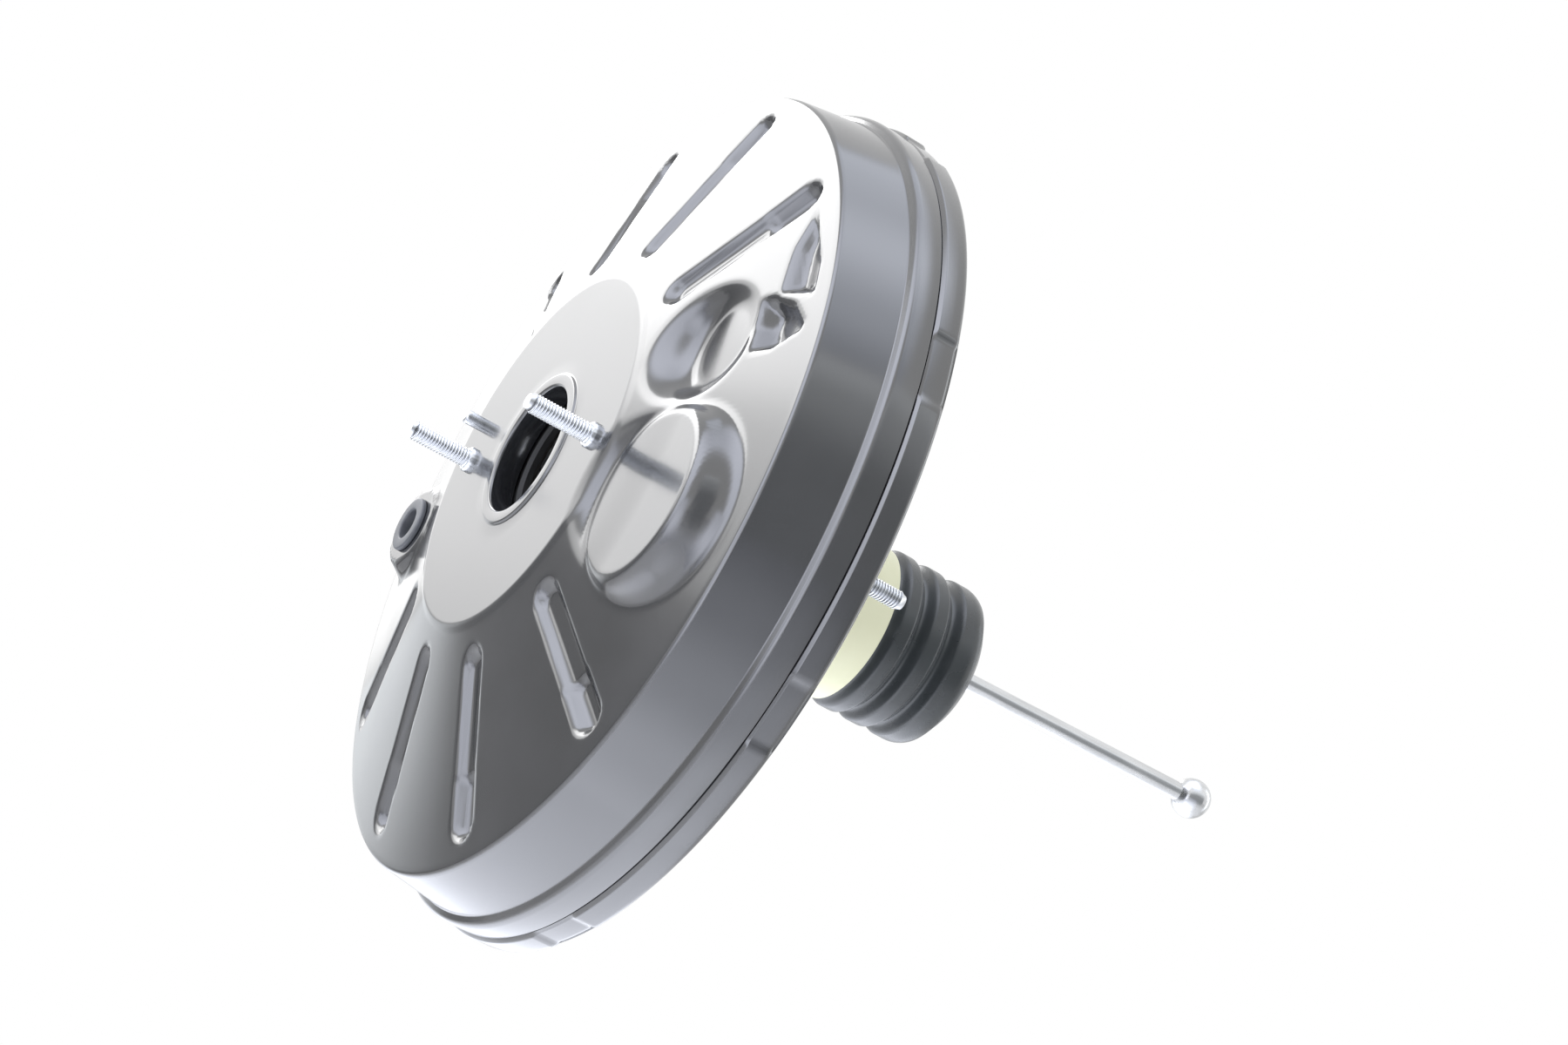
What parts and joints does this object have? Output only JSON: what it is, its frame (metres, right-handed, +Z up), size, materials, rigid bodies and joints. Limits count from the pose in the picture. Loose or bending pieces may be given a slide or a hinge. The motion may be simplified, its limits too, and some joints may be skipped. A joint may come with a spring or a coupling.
{
  "type": "vacuum brake booster",
  "caption": "Single-diaphragm vacuum brake booster with studded master cylinder pad, firewall studs, convoluted boot and ball-ended pushrod.",
  "frame": {"origin": "centre of the rear face that seats on the firewall, on the booster's axis", "axes": "+Y along the booster's axis from the master cylinder side to the pedal side, +Z up, X through the two master cylinder studs"},
  "size_m": [0.27, 0.2805, 0.27],
  "materials": {
    "black_paint": "gloss",
    "plated_steel": "zinc plated",
    "zinc_studs": "bright zinc",
    "bright_steel": "bright",
    "spring_steel": "oiled",
    "black_rubber": "matt",
    "boot_rubber": "satin",
    "black_plastic": "matt",
    "cream_plastic": "satin",
    "filter_felt": "felt",
    "silencer_foam": "open-cell foam"
  },
  "bodies": {
    "housing": {"front_shell": "black_paint", "rear_shell": "black_paint", "front_reinforcement_plate": "plated_steel", "rear_reinforcement_plate": "plated_steel", "front_studs": "zinc_studs", "rear_studs": "zinc_studs", "locating_pin": "zinc_studs", "check_valve_grommet": "black_rubber", "front_seal": "black_rubber", "front_seal_retainer": "bright_steel", "return_spring": "spring_steel", "neck_bearing": "cream_plastic", "neck_seal": "black_rubber", "neck_seal_clip": "plated_steel", "neck_sleeve": "cream_plastic", "boot": "boot_rubber"},
    "piston": {"valve_body": "black_plastic", "diaphragm_plate": "plated_steel", "diaphragm": "black_rubber", "reaction_disc": "black_rubber", "output_pushrod": "bright_steel", "output_rod_retainer": "plated_steel", "plunger_key": "plated_steel", "poppet_valve": "black_rubber", "poppet_retainer": "plated_steel", "poppet_spring": "spring_steel", "input_return_spring": "spring_steel", "air_filter": "filter_felt", "air_silencer": "silencer_foam", "filter_retainer": "black_plastic"},
    "plunger": {"valve_plunger": "bright_steel"},
    "pushrod": {"input_pushrod": "bright_steel", "input_spring_seat": "plated_steel"}
  },
  "joints": [
    {"name": "piston_slide", "type": "slide", "parent": "housing", "child": "piston", "axis": [0, -1, 0], "range_m": [0, 0.025], "stiffness_N_per_m": 3000, "springref_m": -0.03, "deforming": ["return_spring", "boot", "diaphragm"]},
    {"name": "input_slide", "type": "slide", "parent": "piston", "child": "plunger", "axis": [0, -1, 0], "range_m": [0, 0.0016], "stiffness_N_per_m": 2500, "springref_m": -0.01, "deforming": ["input_return_spring"]},
    {"name": "rod_swing", "type": "hinge", "parent": "plunger", "child": "pushrod", "pos_m": [0, 0.008, 0], "axis": [1, 0, 0], "range_deg": [-7, 5]}
  ]
}
